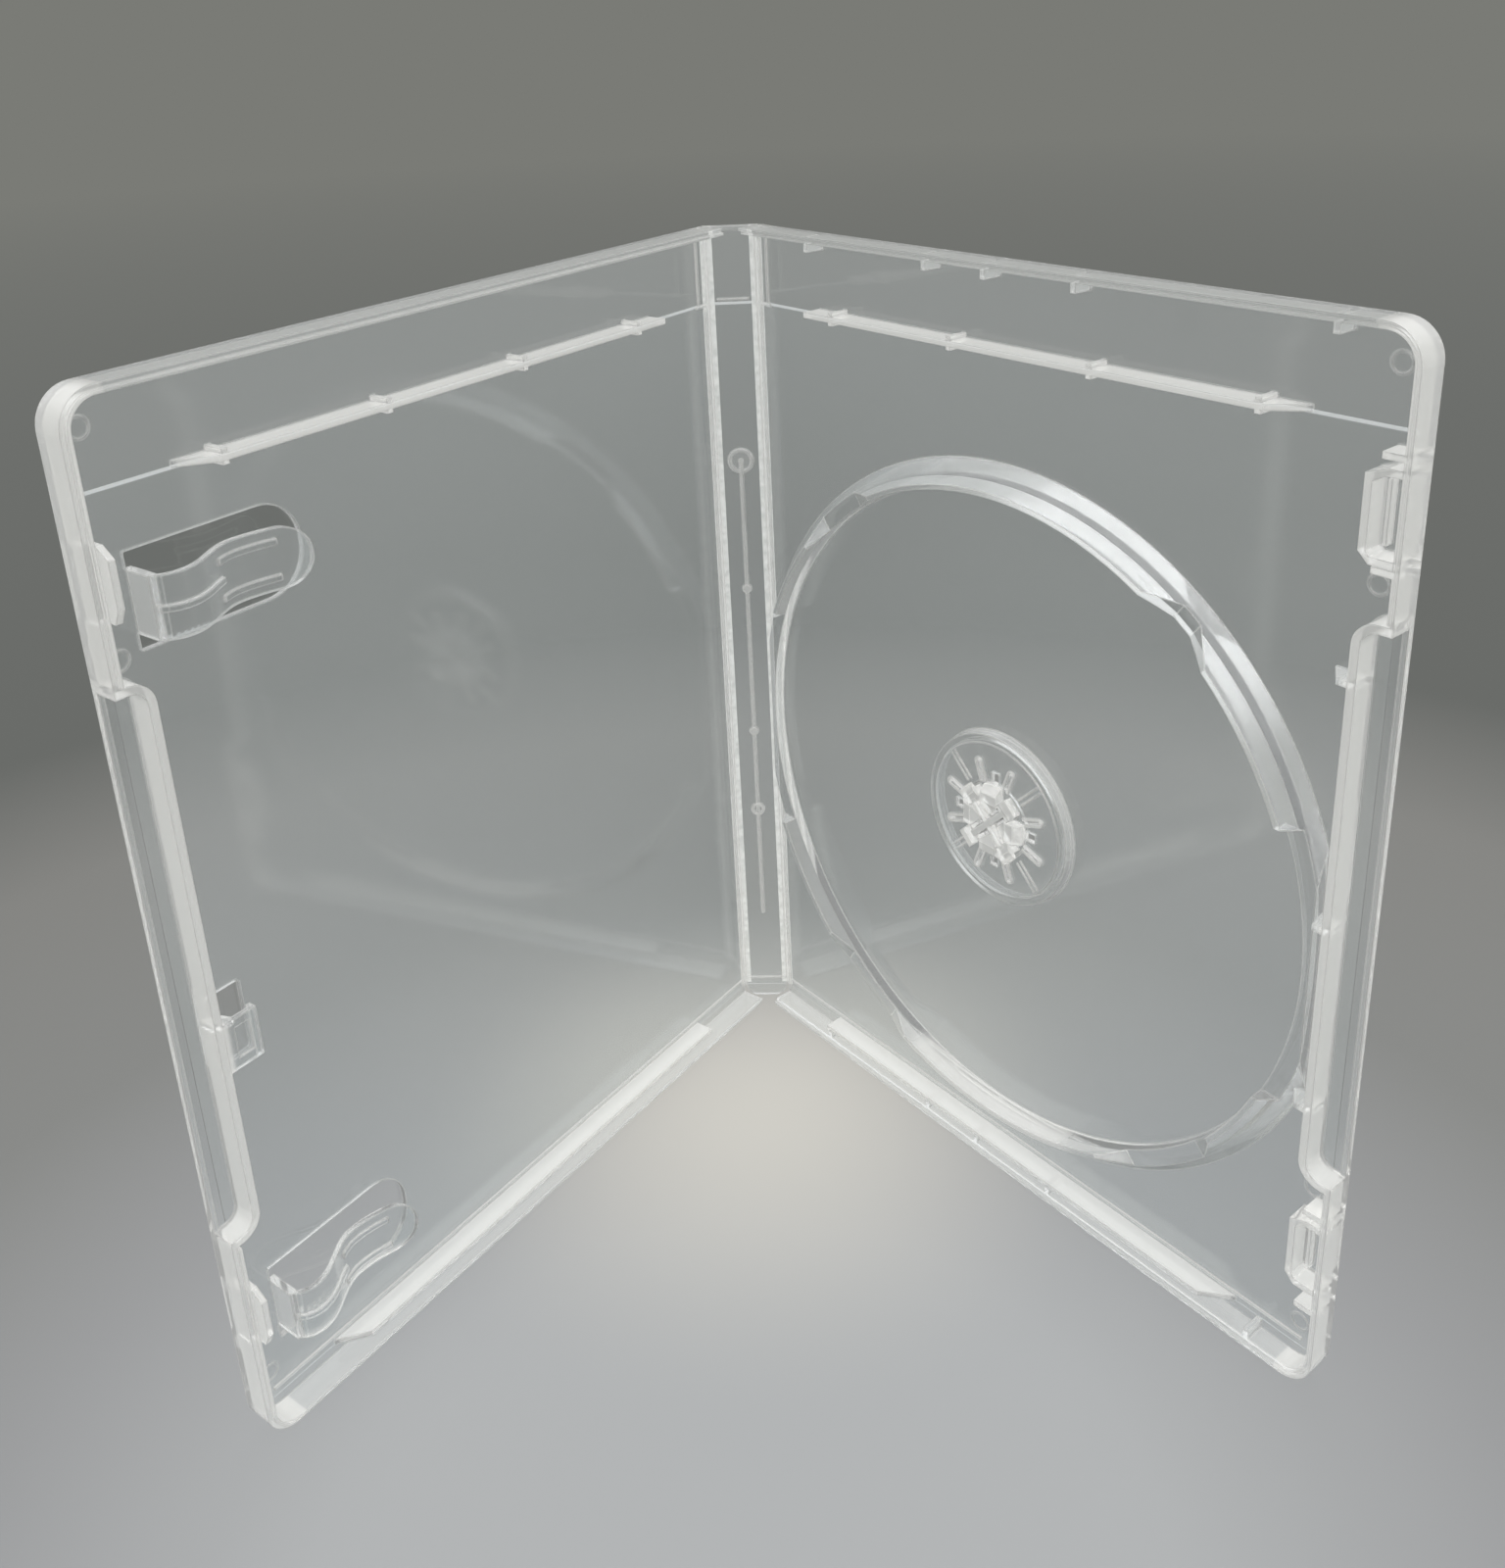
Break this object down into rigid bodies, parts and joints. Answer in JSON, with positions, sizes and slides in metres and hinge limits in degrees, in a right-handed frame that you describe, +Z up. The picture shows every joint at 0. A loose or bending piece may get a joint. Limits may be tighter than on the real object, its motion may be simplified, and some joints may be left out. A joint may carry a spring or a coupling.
{
  "type": "optical disc case",
  "caption": "Clear moulded disc case that opens like a book, with booklet clips in the cover, a disc well with a push-button hub in the tray, thumb notches and a film sleeve.",
  "frame": {"origin": "centre of the spine's lower end, on the surface the open case stands on", "axes": "+Z up along the spine, -Y into the open case, towards the viewer; the front cover lies on -X and the disc tray on +X"},
  "size_m": [0.1725, 0.1145, 0.1715],
  "materials": {
    "clear_polypropylene": "clear, slightly milky, polished mould",
    "frosted_polypropylene": "clear moulding with many small edges, milky white",
    "sleeve_film": "thin glossy clear film"
  },
  "bodies": {
    "spine": {"spine": "clear_polypropylene", "sleeve_spine": "sleeve_film"},
    "front_cover": {"front_cover": "clear_polypropylene", "sleeve_front": "sleeve_film"},
    "disc_tray": {"disc_tray": "clear_polypropylene", "sleeve_rear": "sleeve_film"},
    "hub_button": {"hub_button": "frosted_polypropylene"}
  },
  "joints": [
    {"name": "cover_hinge", "type": "hinge", "parent": "spine", "child": "front_cover", "pos_m": [-0.0049, 0, 0.08575], "axis": [0, 0, 1], "range_deg": [-56.3, 33.7]},
    {"name": "tray_hinge", "type": "hinge", "parent": "spine", "child": "disc_tray", "pos_m": [0.0049, 0, 0.08575], "axis": [0, 0, -1], "range_deg": [-48.8, 41.2]},
    {"name": "hub_press", "type": "slide", "parent": "disc_tray", "child": "hub_button", "axis": [-0.7524, -0.6587, 0], "range_m": [-0.0012, 0], "stiffness_N_per_m": 2000}
  ]
}
